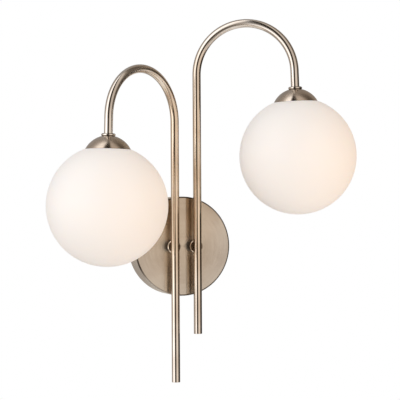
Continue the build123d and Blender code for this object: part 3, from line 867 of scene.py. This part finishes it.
def join(tree, *shapes):
    node = tree.nodes.new("GeometryNodeJoinGeometry")
    for shape in shapes:
        tree.links.new(shape, node.inputs[0])
    return node.outputs[0]


def keep(tree, shape, name, kind, value):
    """Writes a value on every point under a name that a material can read."""
    node = add(tree, "GeometryNodeStoreNamedAttribute", {"data_type": kind, "domain": "POINT"},
               Geometry=shape, Name=name, Value=value)
    return node.outputs[0]


def finish_tree(tree, shape, material):
    """Smooth faces, real geometry and a material, as every finished shape has."""
    shape = add(tree, "GeometryNodeSetShadeSmooth", Geometry=shape).outputs[0]
    shape = add(tree, "GeometryNodeRealizeInstances", Geometry=shape).outputs[0]
    shape = add(tree, "GeometryNodeSetMaterial", Geometry=shape, Material=material).outputs[0]
    add(tree, "NodeGroupOutput", Geometry=shape)


# %% [markdown]
# The middle line is worked out for every step at once. Up to the end of the straight a step climbs.
# Past it the step turns about the crook's middle, by how far it lies past the straight over the
# crook's radius. Past the whole turn it falls away in a straight line again.


# %% The tube's middle line
def middle_line(tree, size):
    """The tube's middle line, with its run and its length kept on the points."""
    radius, whole_turn = size["Crook Radius"], size["Crook Angle"]
    crook = maths(tree, "MULTIPLY", radius, whole_turn)
    length = maths(tree, "ADD", maths(tree, "ADD", size["Straight"], crook), size["Drop"])
    line = add(tree, "GeometryNodeCurvePrimitiveLine").outputs[0]
    line = add(tree, "GeometryNodeResampleCurve", Curve=line, Count=size["Steps"]).outputs[0]
    along = maths(tree, "MULTIPLY", add(tree, "GeometryNodeSplineParameter").outputs["Factor"], length)
    past = maths(tree, "SUBTRACT", along, size["Straight"])
    turn = maths(tree, "MAXIMUM", maths(tree, "DIVIDE", past, radius), 0.0)
    turn = maths(tree, "MINIMUM", turn, whole_turn)
    climb = maths(tree, "MINIMUM", along, size["Straight"])
    fall = maths(tree, "MAXIMUM", maths(tree, "SUBTRACT", past, crook), 0.0)
    rise = maths(tree, "MULTIPLY_ADD", radius, maths(tree, "SINE", turn), climb)
    rise = maths(tree, "MULTIPLY_ADD", fall, maths(tree, "COSINE", whole_turn), rise)
    reach = maths(tree, "MULTIPLY", radius, maths(tree, "SUBTRACT", 1.0, maths(tree, "COSINE", turn)))
    reach = maths(tree, "MULTIPLY_ADD", fall, maths(tree, "SINE", whole_turn), reach)
    place = vector_maths(tree, "ADD", scaled(tree, size["Lean"], reach), vector_of(tree, z=rise))
    place = vector_maths(tree, "ADD", size["Foot"], place)
    ahead = vector_of(tree, z=maths(tree, "COSINE", turn))
    run = vector_maths(tree, "ADD", scaled(tree, size["Lean"], maths(tree, "SINE", turn)), ahead)
    line = keep(tree, line, "run", "FLOAT_VECTOR", run)
    line = keep(tree, line, "along", "FLOAT", along)
    return add(tree, "GeometryNodeSetPosition", Geometry=line, Position=place).outputs[0]


# %% The tree for a hooked tube
weld = 0.001 * MM


def wire_drill(tree, size):
    """A cylinder that stands square to the wall, where the wires come into the tube."""
    drill = add(tree, "GeometryNodeMeshCylinder", Radius=size["Hole Radius"], Depth=size["Hole Depth"])
    drill = add(tree, "GeometryNodeTransform", Geometry=drill.outputs[0], Translation=size["Hole"],
                Rotation=(pi / 2, 0, 0))
    return drill.outputs[0]


def hooked_tube_tree():
    tree, size = new_tree("hooked_tube", {
        "Foot": VECTOR, "Lean": VECTOR, "Straight": FLOAT, "Crook Radius": FLOAT, "Crook Angle": FLOAT,
        "Drop": FLOAT, "Tube Radius": FLOAT, "Wall": FLOAT, "Steps": WHOLE, "Sides": WHOLE,
        "Hole": VECTOR, "Hole Radius": FLOAT, "Hole Depth": FLOAT, "Material": MATERIAL,
    })
    line = middle_line(tree, size)
    circle = add(tree, "GeometryNodeCurvePrimitiveCircle", Resolution=size["Sides"],
                 Radius=size["Tube Radius"])
    skin = add(tree, "GeometryNodeCurveToMesh", Curve=line, Profile_Curve=circle.outputs[0]).outputs[0]
    inwards = maths(tree, "MULTIPLY", size["Wall"], -1.0)
    bore = add(tree, "GeometryNodeExtrudeMesh", Mesh=skin, Offset_Scale=inwards, Individual=False)
    bore = add(tree, "GeometryNodeFlipFaces", Mesh=bore.outputs[0]).outputs[0]
    tube = add(tree, "GeometryNodeMergeByDistance", Geometry=join(tree, skin, bore), Distance=weld)
    cut = add(tree, "GeometryNodeMeshBoolean", {"operation": "DIFFERENCE", "solver": "EXACT"},
              Mesh_1=tube.outputs[0])
    tree.links.new(wire_drill(tree, size), cut.inputs["Mesh 2"])
    finish_tree(tree, cut.outputs[0], size["Material"])
    return tree


hooked_tube = hooked_tube_tree()
print("hooked tube tree with", len(hooked_tube.nodes), "nodes")

# %% Tube brass
scratches_across = 60.0
scratches_along = 1400.0


def round_the_tube(tree):
    """Scratches that run round the tube: far apart across it, and close together along it."""
    across = parts_of(tree, scaled(tree, own_place(tree), scratches_across))
    along = add(tree, "ShaderNodeAttribute", {"attribute_name": "along"}).outputs["Fac"]
    return vector_of(tree, across["X"], across["Y"], maths(tree, "MULTIPLY", along, scratches_along))


def along_the_tube(tree):
    return add(tree, "ShaderNodeAttribute", {"attribute_name": "run"}).outputs["Vector"]


tube_brass = brass("tube_brass", round_the_tube, along_the_tube, roughness=(0.115, 0.125), smear=0.9,
                   streaked=0.1)
print("tube brass reads the attributes along and run")

# %% Bend both arms
tube_steps = 240
tube_sides = 48


def sharpen(piece, degrees=40.0):
    """Smooth faces, with a crisp edge wherever two of them meet at more than this angle."""
    piece.data.set_sharp_from_angle(angle=radians(degrees))


for side in SIDES:
    foot = arm_foot(side)
    wire_hole = Vector((foot.x, (canopy_front + foot.y) / 2, 0))
    tube = grow(f"{side}_arm_tube", hooked_tube, {
        "Foot": foot, "Lean": lean_way(side), "Straight": arm_straight, "Crook Radius": crook_radius,
        "Crook Angle": crook_angle, "Drop": arm_drop, "Tube Radius": tube_radius, "Wall": tube_wall,
        "Steps": tube_steps, "Sides": tube_sides, "Hole": wire_hole, "Hole Radius": wire_hole_radius,
        "Hole Depth": canopy_front - foot.y, "Material": tube_brass,
    })
    sharpen(tube)
    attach(tube, "fixture")
    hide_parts(f"{side}_arm")
    print(tube.name, len(tube.data.polygons), "faces")

# %% [markdown]
# ## Threads
# A thread is a ridge wound round a cylinder. One tree makes any of them: a spiral of so many turns,
# and a small circle swept along it that swells from nothing at the start and dies away at the end,
# as a rolled thread does. The globes' necks have one coarse, rounded thread, which shows when a
# globe is unscrewed, and the hollow stubs have a fine one, which shows behind the canopy.

# %% The tree for a thread
steps_per_turn = 64
ridge_sides = 10
thinnest = 0.02


def thread_tree():
    tree, size = new_tree("thread", {
        "Turns": FLOAT, "Pitch": FLOAT, "Radius": FLOAT, "Ridge": FLOAT, "Run Out": FLOAT,
        "Material": MATERIAL,
    })
    height = maths(tree, "MULTIPLY", size["Turns"], size["Pitch"])
    line = add(tree, "GeometryNodeCurveSpiral", Resolution=steps_per_turn, Rotations=size["Turns"],
               Height=height, Start_Radius=size["Radius"], End_Radius=size["Radius"]).outputs[0]
    part = add(tree, "GeometryNodeSplineParameter").outputs["Factor"]
    nearest_end = maths(tree, "MINIMUM", part, maths(tree, "SUBTRACT", 1.0, part))
    swell = maths(tree, "MINIMUM", maths(tree, "DIVIDE", nearest_end, size["Run Out"]), 1.0)
    swell = maths(tree, "MAXIMUM", swell, thinnest)
    circle = add(tree, "GeometryNodeCurvePrimitiveCircle", Resolution=ridge_sides, Radius=size["Ridge"])
    ridge = add(tree, "GeometryNodeCurveToMesh", Curve=line, Profile_Curve=circle.outputs[0], Scale=swell,
                Fill_Caps=True)
    finish_tree(tree, ridge.outputs[0], size["Material"])
    return tree


thread = thread_tree()
print("thread tree with", len(thread.nodes), "nodes")


# %% Winding a thread
def wind(name, place, values, body):
    """Winds a thread about Z and puts it where it belongs on the light."""
    ridge = grow(name, thread, values)
    ridge.data.transform(place)
    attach(ridge, body)
    print(name, len(ridge.data.polygons), "faces")


def upright_frame(origin, up):
    """A frame with its origin there and its Z along up."""
    return Matrix.Translation(origin) @ up.to_track_quat("Z", "Y").to_matrix().to_4x4()


# %% Threads on necks and stubs
# A ridge is a round wire sunk into its cylinder, and sunk is how far its middle lies inside the skin.
neck_radius = 15.5 * MM
neck_start = 65.4 * MM
neck_turns = 1.15
neck_ridge = 0.60 * MM
neck_sunk = 0.35 * MM
neck_run_out = 0.12
globe_fall = joints["left_globe_lower"]["range_m"][1]
globe_pitch = globe_fall / (joints["left_globe_unscrew"]["range_deg"][1] / 360)
stub_start = 0.2 * MM
stub_turns = 6.0
stub_pitch = 1.0 * MM
stub_ridge = 0.28 * MM
stub_sunk = 0.20 * MM
stub_run_out = 0.04
out_of_the_wall = Vector((0, -1, 0))


def wind_neck(side):
    """The coarse thread on a globe's neck."""
    centre, down = joint_place(f"{side}_globe_unscrew")
    place = upright_frame(centre, -down) @ Matrix.Translation((0, 0, neck_start))
    wind(f"{side}_neck_thread", place, {
        "Turns": neck_turns, "Pitch": globe_pitch, "Radius": neck_radius - neck_sunk,
        "Ridge": neck_ridge, "Run Out": neck_run_out, "Material": opal,
    }, f"{side}_globe")


def wind_stub(side):
    """The fine thread on the hollow stub that holds a tube to the canopy."""
    low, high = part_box(f"{side}_stub")
    stub_radius = (high.x - low.x) / 2
    stub_end = Vector(((low.x + high.x) / 2, high.y, (low.z + high.z) / 2))
    place = upright_frame(stub_end + stub_start * out_of_the_wall, out_of_the_wall)
    wind(f"{side}_stub_thread", place, {
        "Turns": stub_turns, "Pitch": stub_pitch, "Radius": stub_radius - stub_sunk,
        "Ridge": stub_ridge, "Run Out": stub_run_out, "Material": bare_brass,
    }, "fixture")


for side in SIDES:
    wind_neck(side)
    wind_stub(side)
print("globe thread pitch", round(globe_pitch / MM, 2), "mm")

# %% [markdown]
# ## Wires
# Each arm carries two cores, one with a brown sleeve and one with a blue one. The solid holds both,
# so a copy of it is taken apart into its loose pieces, and each gets its own sleeve. A copy of a
# solid's mesh comes in as loose triangles, so its doubles are merged first.

# %% Take a mesh apart
import bmesh

double_distance = 0.0005 * MM


def shells_of(whole):
    """The numbers of the points of each separate shell."""
    left, shells = set(whole.verts), []
    while left:
        shell, edge = set(), [left.pop()]
        while edge:
            vert = edge.pop()
            shell.add(vert.index)
            near = {link.other_vert(vert) for link in vert.link_edges} & left
            left -= near
            edge.extend(near)
        shells.append(shell)
    return shells


def loose_parts(mesh):
    """The separate shells of a mesh, each as a mesh of its own, ordered from low to high."""
    whole = bmesh.new()
    whole.from_mesh(mesh)
    bmesh.ops.remove_doubles(whole, verts=whole.verts, dist=double_distance)
    whole.verts.index_update()
    meshes = []
    for shell in shells_of(whole):
        part = whole.copy()
        part.verts.ensure_lookup_table()
        bmesh.ops.delete(part, geom=[v for v in part.verts if v.index not in shell], context="VERTS")
        out = bpy.data.meshes.new("shell")
        part.to_mesh(out)
        part.free()
        meshes.append(out)
    whole.free()
    return sorted(meshes, key=lambda m: min(v.co.z for v in m.vertices))


# %% Split the wires
sleeves = {"blue": blue_sleeve, "brown": brown_sleeve}
for side in SIDES:
    shells = loose_parts(nodes[f"{side}_arm_wires"].data)
    for (colour, sleeve), mesh in zip(sleeves.items(), shells):
        mesh.name = f"{side}_{colour}_wire"
        mesh.materials.clear()
        mesh.materials.append(sleeve)
        mesh.shade_smooth()
        wire = bpy.data.objects.new(mesh.name, mesh)
        scene.collection.objects.link(wire)
        sharpen(wire)
        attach(wire, "fixture")
        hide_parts(f"{side}_arm_wires")
    print(side, "wires:", len(shells), "cores")
